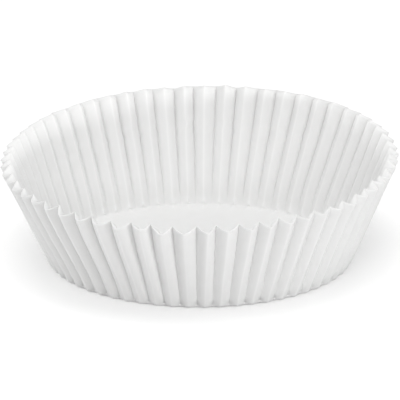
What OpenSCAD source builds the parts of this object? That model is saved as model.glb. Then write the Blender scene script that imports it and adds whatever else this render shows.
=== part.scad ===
// Cupcake liner: a pleated baking case pressed from one round sheet of white paper.
// It stands on its floor, with its axis on Z and the table at Z = 0.

/* [Foot] */
// Diameter at which the line of the outer folds meets the table
foot_d = 50; // [44:1:56]
// Radius of the bend from the floor into the wall, on the inner folds
bend_r = 0.3; // [0.2:0.1:2]
// Width of the floor's pressed ring, in which the pleats run out into the smooth disc
ring_w = 4; // [2:0.5:8]
// Height of the pressed pleats where the ring meets the bend
ring_relief = 0.12; // [0.05:0.01:0.3]
// Length of paper, along a radius of the sheet, that the pressed ring takes in
gathered = 1.9; // [1:0.1:3]

/* [Wall] */
// Diameter across the outer folds at the rim
rim_d = 67; // [60:1:76]
// Height of the outer folds at the rim
wall_h = 17; // [10:1:24]

/* [Pleats] */
// Number of pleats round the case
pleats = 60; // [40:1:72]
// How far the paper arches over the outer folds, from 0 for flat flanks to 1 for one round arch
arch = 0.7; // [0:0.05:1]

/* [Paper] */
// Thickness of the paper
paper_t = 0.1; // [0.06:0.01:0.16]

/* [Hidden] */

foot_r = foot_d / 2;
rim_r = rim_d / 2;
// Steepness of the outer folds, measured from the table
wall_angle = atan2(wall_h, rim_r - foot_r);
// The outer folds turn round the same centre as the inner folds, one pleat's depth further out
outer_bend_r = bend_r + pleat_depth(foot_r + gathered, foot_r);
// Where the outer folds leave the floor and where they enter the wall
bend_start_r = foot_r - outer_bend_r * tan(wall_angle / 2);
bend_end_r = bend_start_r + outer_bend_r * sin(wall_angle);
bend_end_z = outer_bend_r * (1 - cos(wall_angle));
// Radius on the flat sheet of the paper at the end of the bend, and what the wall adds to it
bend_end_sheet_r = bend_start_r + gathered + outer_bend_r * wall_angle * PI / 180;
wall_length = norm([rim_r - bend_end_r, wall_h - bend_end_z]);
// Depth of a pleat where it enters the wall
bend_end_depth = pleat_depth(bend_end_sheet_r, bend_end_r);
// Radius of the smooth disc in the middle of the floor
disc_r = bend_start_r - ring_w;
// How finely the bend and the wall are divided
bend_steps = 3;
wall_steps = 3;

// Stations along one outer fold, from the disc's edge to the rim.
// Each is [radius, height, slope of the fold, depth of the pleat there].
ring_stations = [[disc_r, 0, 0, 0], [bend_start_r, 0, 0, ring_relief]];
bend_stations = [for (i = [1 : bend_steps])
    let (share = i / bend_steps, slope = wall_angle * share)
    [bend_start_r + outer_bend_r * sin(slope),
     outer_bend_r * (1 - cos(slope)),
     slope,
     ring_relief + (bend_end_depth - ring_relief) * ease(share)]];
wall_stations = [for (i = [1 : wall_steps])
    let (share = i / wall_steps, radius = bend_end_r + (rim_r - bend_end_r) * share)
    [radius,
     bend_end_z + (wall_h - bend_end_z) * share,
     wall_angle,
     pleat_depth(bend_end_sheet_r + wall_length * share, radius)]];
stations = concat(ring_stations, bend_stations, wall_stations);
last = len(stations) - 1;

// Section of one pleat as [share of the pitch, share of the depth], from one outer fold to the next.
// The paper arches over the outer folds and is creased at the inner one, half way.
section_shares = [0, 0.18, 0.4, 0.5, 0.6, 0.82];
pleat_section = [for (share = section_shares) [share, sunk(share)]];
corners = len(pleat_section);
columns = pleats * corners;

// Depth of the pleats, square to the paper, where a circle of the flat sheet stands on a smaller one
// of the case. Flanks of this depth take up the whole length of the sheet's circle.
function pleat_depth(sheet_r, case_r) = PI / pleats * sqrt(sheet_r * sheet_r - case_r * case_r);

// A slow start and a slow finish between 0 and 1
function ease(share) = share * share * (3 - 2 * share);

// Share of the depth at this share of the pitch, from 0 on an outer fold to 1 on an inner fold
function sunk(share) =
    let (reach = 2 * min(share, 1 - share))
    (1 - arch) * reach + arch * (1 - cos(90 * reach));

// Angle of a column round the axis
function column_angle(column) =
    (floor(column / corners) + pleat_section[column % corners][0]) * 360 / pleats;

// Point of the paper's outside at a station and a column
function outside(station, column) =
    let (
        s = stations[station],
        angle = column_angle(column),
        sink = s[3] * pleat_section[column % corners][1],
        radius = s[0] - sin(s[2]) * sink
    )
    [radius * cos(angle), radius * sin(angle), s[1] + cos(s[2]) * sink];

// Direction through the paper, from its outside to its inside
function through(station, column) =
    station == 0 ? [0, 0, 1] :
    let (
        around = outside(station, (column + 1) % columns)
            - outside(station, (column + columns - 1) % columns),
        up = outside(min(station + 1, last), column) - outside(station - 1, column),
        across = cross(around, up)
    )
    -across / norm(across);

// Point of the paper's inside, opposite the same point of its outside
function inside(station, column) = outside(station, column) + paper_t * through(station, column);

// Number of a point in the list of all points
function outer_index(station, column) = station * columns + column % columns;
function inner_index(station, column) = (last + 1) * columns + outer_index(station, column);

// The whole case as one closed sheet
module pleated_case() {
    points = concat(
        [for (s = [0 : last], c = [0 : columns - 1]) outside(s, c)],
        [for (s = [0 : last], c = [0 : columns - 1]) inside(s, c)],
        [[0, 0, 0], [0, 0, paper_t]]
    );
    under_centre = 2 * (last + 1) * columns;
    upper_centre = under_centre + 1;
    outside_faces = [for (s = [0 : last - 1], c = [0 : columns - 1]) each [
        [outer_index(s, c), outer_index(s + 1, c), outer_index(s + 1, c + 1)],
        [outer_index(s, c), outer_index(s + 1, c + 1), outer_index(s, c + 1)],
    ]];
    inside_faces = [for (s = [0 : last - 1], c = [0 : columns - 1]) each [
        [inner_index(s, c), inner_index(s + 1, c + 1), inner_index(s + 1, c)],
        [inner_index(s, c), inner_index(s, c + 1), inner_index(s + 1, c + 1)],
    ]];
    rim_faces = [for (c = [0 : columns - 1]) each [
        [outer_index(last, c), inner_index(last, c), inner_index(last, c + 1)],
        [outer_index(last, c), inner_index(last, c + 1), outer_index(last, c + 1)],
    ]];
    disc_faces = [for (c = [0 : columns - 1]) each [
        [under_centre, outer_index(0, c), outer_index(0, c + 1)],
        [upper_centre, inner_index(0, c + 1), inner_index(0, c)],
    ]];
    polyhedron(points, concat(outside_faces, inside_faces, rim_faces, disc_faces));
}

module liner() {
    color("white") pleated_case();
}

liner();
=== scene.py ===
"""Cupcake liner: a pleated baking case of white greaseproof paper, standing on a white table."""
import math

import bpy
import numpy as np
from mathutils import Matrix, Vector


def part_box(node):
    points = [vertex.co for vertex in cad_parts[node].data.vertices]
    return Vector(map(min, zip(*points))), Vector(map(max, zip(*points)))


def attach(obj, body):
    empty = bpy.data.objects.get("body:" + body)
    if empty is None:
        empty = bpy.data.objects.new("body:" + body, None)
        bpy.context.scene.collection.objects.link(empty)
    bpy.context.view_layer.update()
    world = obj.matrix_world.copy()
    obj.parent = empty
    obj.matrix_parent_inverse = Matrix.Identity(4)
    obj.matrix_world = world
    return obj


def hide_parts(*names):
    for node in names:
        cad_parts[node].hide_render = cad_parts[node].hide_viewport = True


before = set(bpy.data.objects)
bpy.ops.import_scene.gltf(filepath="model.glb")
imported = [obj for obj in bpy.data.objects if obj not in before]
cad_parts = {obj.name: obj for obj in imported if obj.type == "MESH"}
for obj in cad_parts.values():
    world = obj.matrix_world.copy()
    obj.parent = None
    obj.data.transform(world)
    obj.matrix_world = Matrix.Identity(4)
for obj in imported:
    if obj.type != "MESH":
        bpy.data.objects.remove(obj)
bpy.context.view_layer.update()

MM = 0.001
CASE_LOW, CASE_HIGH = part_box("liner")

# The case, on the line of its outer folds
RIM_R = (CASE_HIGH.x - CASE_LOW.x) / 2
RIM_H = 17 * MM
FOOT_R = 25 * MM
BEND_R = 0.7 * MM
RING_W = 4 * MM
PAPER_T = 0.1 * MM

# The pleats. Paper that the floor's creases take in stands in the pleats of the wall.
PLEATS = 60
GATHERED = 1.9 * MM
RING_RELIEF = 0.12 * MM
# How much deeper the creases cut in half way round the bend
CORNER_CUT = 0.2 * MM
# Share of their full depth that the pleats have at the foot, and the height at which they reach it
FOOT_SHARE = 0.9
FOOT_H = 3 * MM

# Section of a pleat: how broad its ridges are, then the share of the depth that the pinched part of a valley
# takes and the share of half the pitch over which it fades, on the outside and on the inside
CREST = 0.4
PINCH_SHARE = 0.46
PINCH_WIDTH = 0.24
SLOT_SHARE = 0.45
SLOT_WIDTH = 0.09
# Pleats less deep than this are pinched less
PINCHED_DEPTH = 0.4 * MM
# The two faces come together over these heights, where the outside keeps this share of its pinch
SOFT_RIM = 0.5 * MM
SOFT_FOOT = 3 * MM
FOOT_PINCH = 0.3

# How far a real case is from its ideal shape. Folds drift by a share of the pitch, less at the foot, and by a
# share of their depth. Above a share of the height they come out more or less tall.
SEED = 11
FOLD_DRIFT = 0.035
FOOT_DRIFT = 0.3
DEPTH_DRIFT = 0.06
HEIGHT_DRIFT = 0.09 * MM
UNEVEN_FROM = 0.6
# The rim is out of round, and higher on one side
OVAL = (-0.90 * MM, 0.75 * MM)
TILT = (1.0 * MM, 0.1 * MM)

# Two faint creases run round the wall, where the folds jog aside by a share of the pitch, less on the outside
CREASE_HEIGHTS = (11.4 * MM, 10.3 * MM)
CREASE_BREADTH = 0.45 * MM
CREASE_JOG = 0.03
OUTSIDE_JOG = 0.4

# Where the sheet is divided, as shares of the disc's radius, of half a pleat, of the pressed ring, of the
# bend and of the wall, which is divided finer round its creases and at the rim
DISC_SHARES = (0.12, 0.45, 0.8)
HALF_PLEAT = (0, 0.04, 0.1, 0.2, 0.4, 0.6, 0.8, 0.9, 0.96)
RING_SHARES = np.linspace(0, 1, 6)
BEND_SHARES = np.linspace(0, 1, 8)[1:]
EVEN_SHARES = np.linspace(0, 1, 15)[1:]
CREASE_SHARES = np.linspace(0.52, 0.74, 12)
RIM_SHARES = (0.97, 0.985)

# The paper's tone. Its folds are worn white over a share of half a pleat, fully from this depth of pleat on.
PAPER_TONE = 0.86
FOLD_WIDTH = 0.12
CREASED_DEPTH = 0.2 * MM

# The table and the room. The tone is for the light that the table throws on the case. What is seen of the
# table itself is white, with this lift.
TABLE_TONE = 0.68
TABLE_LIFT = 0.16
TABLE_GAP = 0.02 * MM
ROOM_LIGHT = 0.59

# Soft boxes: name, azimuth from the camera's right and rise from the table in degrees, distance, width and
# height in metres, and the brightness that the box alone gives a white sheet facing it
SOFT_BOXES = (
    ("overhead", -90, 86, 0.9, 0.6, 0.6, 0.33),
    ("front", -74, 14.5, 0.7, 0.4, 0.06, 0.08),
    ("fill", -90, 24, 0.7, 0.4, 0.2, 0.09),
    ("key", -44, 2.5, 0.7, 0.2, 0.03, 0.22),
    ("left", 178, 3, 0.7, 0.3, 0.04, 0.25),
)

# The picture
PHOTO_W = 400
VIEW_TURN = math.radians(-1.7)
VIEW_RISE = math.radians(19.3)
VIEW_DISTANCE = 835 * MM
FOCAL_PX = 5088
AIM_H = 9.6 * MM


def smooth(share):
    """A slow start and a slow finish between 0 and 1."""
    share = np.clip(share, 0, 1)
    return share * share * (3 - 2 * share)


def pleat_depth(sheet_r, case_r):
    """Depth at which the pleats take up the round sheet's length beyond the circle that they stand on."""
    return math.pi / PLEATS * math.sqrt(sheet_r ** 2 - case_r ** 2)


def fold_profile():
    """Stations along one outer fold, from the disc's edge to the rim: radius, height, slope and depth."""
    wall_angle = math.atan2(RIM_H, RIM_R - FOOT_R)
    bend_start = FOOT_R - BEND_R * math.tan(wall_angle / 2)
    disc_r = bend_start - RING_W
    stations = [(disc_r + RING_W * share, 0, 0, RING_RELIEF * smooth(share)) for share in RING_SHARES]

    wall_r = bend_start + BEND_R * math.sin(wall_angle)
    wall_h = BEND_R * (1 - math.cos(wall_angle))
    wall_sheet_r = bend_start + BEND_R * wall_angle + GATHERED
    foot_depth = pleat_depth(wall_sheet_r, wall_r) * FOOT_SHARE
    for share in BEND_SHARES:
        slope = wall_angle * share
        depth = RING_RELIEF + (foot_depth - RING_RELIEF) * smooth(share)
        stations.append((
            bend_start + BEND_R * math.sin(slope),
            BEND_R * (1 - math.cos(slope)),
            slope,
            depth + CORNER_CUT * math.sin(math.pi * share),
        ))

    wall_length = math.hypot(RIM_R - wall_r, RIM_H - wall_h)
    for share in np.union1d(np.append(EVEN_SHARES, RIM_SHARES), CREASE_SHARES):
        radius = wall_r + (RIM_R - wall_r) * share
        rise = (RIM_H - wall_h) * share
        full_depth = pleat_depth(wall_sheet_r + wall_length * share, radius)
        fuller = FOOT_SHARE + (1 - FOOT_SHARE) * smooth(rise / FOOT_H)
        stations.append((radius, wall_h + rise, wall_angle, full_depth * fuller))
    return np.array(stations)


def pleat_shape(reach, pinch, width):
    """Share of the depth, from 0 on a round ridge to 1 in a valley whose last part is pinched."""
    arched = (np.sqrt(reach ** 2 + CREST ** 2) - CREST) / (math.sqrt(1 + CREST ** 2) - CREST)
    return (1 - pinch) * arched + pinch * np.exp((reach - 1) / width)


def along_folds(random, spread, turn):
    """A random value for every outer and inner fold in turn, read off at any place between them."""
    values = random.normal(0, spread, 2 * PLEATS)
    folds = np.arange(2 * PLEATS + 1)
    return np.interp((2 * turn) % (2 * PLEATS), folds, np.append(values, values[0]))


def case_faces(rings, columns):
    """Faces of a closed sheet: two discs of rings round a middle point, joined along their rims."""
    upper = 1 + rings * columns
    rim = upper - columns
    faces = []
    for c in range(columns):
        d = (c + 1) % columns
        faces.append((0, 1 + d, 1 + c))
        faces.append((upper, upper + 1 + c, upper + 1 + d))
        for ring in range(rings - 1):
            a = 1 + ring * columns
            b = a + columns
            faces.append((a + c, a + d, b + d, b + c))
            faces.append((upper + a + c, upper + b + c, upper + b + d, upper + a + d))
        faces.append((rim + c, rim + d, upper + rim + d, upper + rim + c))
    return faces


def case_mesh():
    """The case as one closed sheet of paper, with every fold a little off its ideal place."""
    random = np.random.default_rng(SEED)
    stations = fold_profile()
    half = np.array(HALF_PLEAT) / 2
    places = np.concatenate([half, [0.5], 1 - half[:0:-1]])
    turn = (np.arange(PLEATS)[:, None] + places[None, :]).ravel()
    reach = np.abs(2 * (turn - np.round(turn)))
    columns = len(turn)

    drift = along_folds(random, FOLD_DRIFT, turn)
    deeper = along_folds(random, DEPTH_DRIFT, turn)
    taller = along_folds(random, HEIGHT_DRIFT, turn)
    jogs = [along_folds(random, CREASE_JOG, turn) for _ in CREASE_HEIGHTS]

    radius, height, slope, depth = stations.T[:, :, None]
    up = height / RIM_H
    crease = sum(
        np.exp(-((height - crease_h) / CREASE_BREADTH) ** 2) * jog
        for crease_h, jog in zip(CREASE_HEIGHTS, jogs)
    )
    place = turn + drift * (FOOT_DRIFT + (1 - FOOT_DRIFT) * up)
    apart = smooth(height / SOFT_FOOT) * smooth((RIM_H - height) / SOFT_RIM)
    deep = smooth(depth / PINCHED_DEPTH)
    outside = pleat_shape(reach, PINCH_SHARE * (FOOT_PINCH + (1 - FOOT_PINCH) * apart) * deep, PINCH_WIDTH)
    mirrored = 1 - pleat_shape(1 - reach, SLOT_SHARE * deep, SLOT_WIDTH)
    inside = outside + (mirrored - outside) * apart

    # The outside first, then the inside, each from its middle point outwards
    points = []
    for face, offset, jog in ((outside, 0, OUTSIDE_JOG), (inside, PAPER_T, 1)):
        angle = (place + jog * crease) * 2 * math.pi / PLEATS
        sink = depth * (1 + deeper) * face + offset
        r = radius - np.sin(slope) * sink
        z = height + np.cos(slope) * sink + taller * smooth((up - UNEVEN_FROM) / (1 - UNEVEN_FROM))
        round_view = angle - VIEW_TURN
        lean = smooth(z / RIM_H)
        r = r + lean * (OVAL[0] * np.cos(2 * round_view) + OVAL[1] * np.sin(2 * round_view))
        z = z + lean * (TILT[0] * np.sin(round_view) + TILT[1] * np.cos(round_view))
        points.append((0, 0, offset))
        flat = turn * 2 * math.pi / PLEATS
        for share in DISC_SHARES:
            ring = stations[0, 0] * share
            points += [(ring * math.cos(a), ring * math.sin(a), offset) for a in flat]
        for s in range(len(stations)):
            points += list(zip(r[s] * np.cos(angle[s]), r[s] * np.sin(angle[s]), z[s]))

    mesh = bpy.data.meshes.new("paper_case")
    faces = case_faces(len(DISC_SHARES) + len(stations), columns)
    mesh.from_pydata([tuple(map(float, point)) for point in points], [], faces)
    mesh.validate()
    mesh.shade_smooth()

    # Each face is worn on its own ridges: the outer folds outside, the inner folds inside
    plain = np.zeros(1 + len(DISC_SHARES) * columns)
    creased = smooth(depth / CREASED_DEPTH)
    worn = []
    for off_ridge in (reach, 1 - reach):
        worn += [plain, (creased * np.exp(-off_ridge / FOLD_WIDTH)).ravel()]
    layer = mesh.attributes.new("fold_wear", "FLOAT", "POINT")
    layer.data.foreach_set("value", np.concatenate(worn))
    return mesh


def add(nodes, kind, inputs=None, **settings):
    """A shader node with its plain settings and the values of its inputs."""
    node = nodes.new("ShaderNode" + kind)
    for key, value in settings.items():
        setattr(node, key, value)
    for key, value in (inputs or {}).items():
        node.inputs[key].default_value = value
    return node


def paper_white(share, blue_share):
    """A share of the paper's tone, with a share of its own for blue."""
    return (PAPER_TONE * share, PAPER_TONE * share, PAPER_TONE * blue_share, 1)


def paper_material():
    """White greaseproof paper: cloudy where the pulp lies thicker, finely fibrous, and rougher and whiter
    on its folds."""
    material = bpy.data.materials.new("white_greaseproof_paper")
    material.use_nodes = True
    nodes, links = material.node_tree.nodes, material.node_tree.links
    shader = nodes["Principled BSDF"]
    shader.inputs["Specular IOR Level"].default_value = 0.35

    place = add(nodes, "TexCoord").outputs["Object"]
    clouds = add(nodes, "TexNoise", {"Scale": 420, "Detail": 3})
    fibres = add(nodes, "TexNoise", {"Scale": 3600, "Detail": 5, "Roughness": 0.65, "Distortion": 1.2})
    for texture in (clouds, fibres):
        links.new(place, texture.inputs["Vector"])
    wear = add(nodes, "Attribute", attribute_type="GEOMETRY", attribute_name="fold_wear").outputs["Fac"]

    pulp_tones = {"A": paper_white(0.972, 0.965), "B": paper_white(1.022, 1.018)}
    pulp = add(nodes, "Mix", pulp_tones, data_type="RGBA")
    whitened = add(nodes, "Mix", {"B": paper_white(1.08, 1.075)}, data_type="RGBA")
    links.new(clouds.outputs[0], pulp.inputs["Factor"])
    links.new(pulp.outputs["Result"], whitened.inputs["A"])
    links.new(wear, whitened.inputs["Factor"])
    links.new(whitened.outputs["Result"], shader.inputs["Base Color"])

    gloss = add(nodes, "MapRange", {"To Min": 0.5, "To Max": 0.62})
    rough = add(nodes, "Math", {1: 0.12}, operation="MULTIPLY_ADD")
    links.new(clouds.outputs[0], gloss.inputs["Value"])
    links.new(wear, rough.inputs[0])
    links.new(gloss.outputs[0], rough.inputs[2])
    links.new(rough.outputs[0], shader.inputs["Roughness"])

    relief = add(nodes, "Bump", {"Strength": 0.5, "Distance": 0.03 * MM})
    links.new(fibres.outputs[0], relief.inputs["Height"])
    links.new(relief.outputs[0], shader.inputs["Normal"])
    return material


def seen_directly(nodes, links, elsewhere, seen):
    """A value that holds for what the camera sees, also in a reflection or through glass, and another
    elsewhere."""
    path = add(nodes, "LightPath")
    first = add(nodes, "Math", operation="MAXIMUM")
    both = add(nodes, "Math", operation="MAXIMUM")
    value = add(nodes, "MapRange", {"To Min": elsewhere, "To Max": seen})
    links.new(path.outputs["Is Camera Ray"], first.inputs[0])
    links.new(path.outputs["Is Glossy Ray"], first.inputs[1])
    links.new(first.outputs[0], both.inputs[0])
    links.new(path.outputs["Is Transmission Ray"], both.inputs[1])
    links.new(both.outputs[0], value.inputs["Value"])
    return value.outputs[0]


def table():
    """A white table with the case's shadow. It lies a hair lower, so that no two faces coincide."""
    bpy.ops.mesh.primitive_plane_add(size=4, location=(0, 0, -TABLE_GAP))
    floor = bpy.context.object
    floor.name = "table"
    material = bpy.data.materials.new("white_table")
    material.use_nodes = True
    nodes, links = material.node_tree.nodes, material.node_tree.links
    nodes.clear()
    surface = add(nodes, "BsdfDiffuse")
    glow = add(nodes, "Emission")
    both = add(nodes, "AddShader")
    output = add(nodes, "OutputMaterial")
    links.new(seen_directly(nodes, links, TABLE_TONE, 1.0), surface.inputs["Color"])
    links.new(seen_directly(nodes, links, 0.0, TABLE_LIFT), glow.inputs["Strength"])
    links.new(surface.outputs[0], both.inputs[0])
    links.new(glow.outputs[0], both.inputs[1])
    links.new(both.outputs[0], output.inputs["Surface"])
    floor.data.materials.append(material)


def room():
    """An even white surround."""
    scene = bpy.context.scene
    scene.world = bpy.data.worlds.new("white_room")
    scene.world.use_nodes = True
    nodes, links = scene.world.node_tree.nodes, scene.world.node_tree.links
    links.new(seen_directly(nodes, links, ROOM_LIGHT, 1.0), nodes["Background"].inputs["Strength"])
    nodes["Background"].inputs["Color"].default_value = (1, 1, 1, 1)


def soft_box(name, azimuth, rise, distance, width, height, level):
    """A soft box that faces the case, with the power that gives a white sheet there its level."""
    data = bpy.data.lights.new(name, "AREA")
    data.shape = "RECTANGLE"
    data.size, data.size_y = width, height
    data.energy = level * (math.pi * distance) ** 2
    light = bpy.data.objects.new(name, data)
    a, e = math.radians(azimuth) + VIEW_TURN, math.radians(rise)
    direction = Vector((math.cos(a) * math.cos(e), math.sin(a) * math.cos(e), math.sin(e)))
    light.location = direction * distance
    light.rotation_euler = direction.to_track_quat("Z", "Y").to_euler()
    bpy.context.scene.collection.objects.link(light)


def camera():
    """A long lens at the height and side from which the photograph was taken."""
    data = bpy.data.cameras.new("camera")
    data.lens = FOCAL_PX * data.sensor_width / PHOTO_W
    data.clip_start, data.clip_end = 0.01, 20
    eye = bpy.data.objects.new("camera", data)
    away = Vector((
        math.sin(VIEW_TURN) * math.cos(VIEW_RISE),
        -math.cos(VIEW_TURN) * math.cos(VIEW_RISE),
        math.sin(VIEW_RISE),
    ))
    eye.location = Vector((0, 0, AIM_H)) + away * VIEW_DISTANCE
    eye.rotation_euler = away.to_track_quat("Z", "Y").to_euler()
    bpy.context.scene.collection.objects.link(eye)
    bpy.context.scene.camera = eye


case = bpy.data.objects.new("paper_case", case_mesh())
bpy.context.scene.collection.objects.link(case)
case.data.materials.append(paper_material())
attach(case, "root")
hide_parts("liner")

table()
room()
for box in SOFT_BOXES:
    soft_box(*box)
camera()
bpy.context.scene.view_settings.view_transform = "Standard"
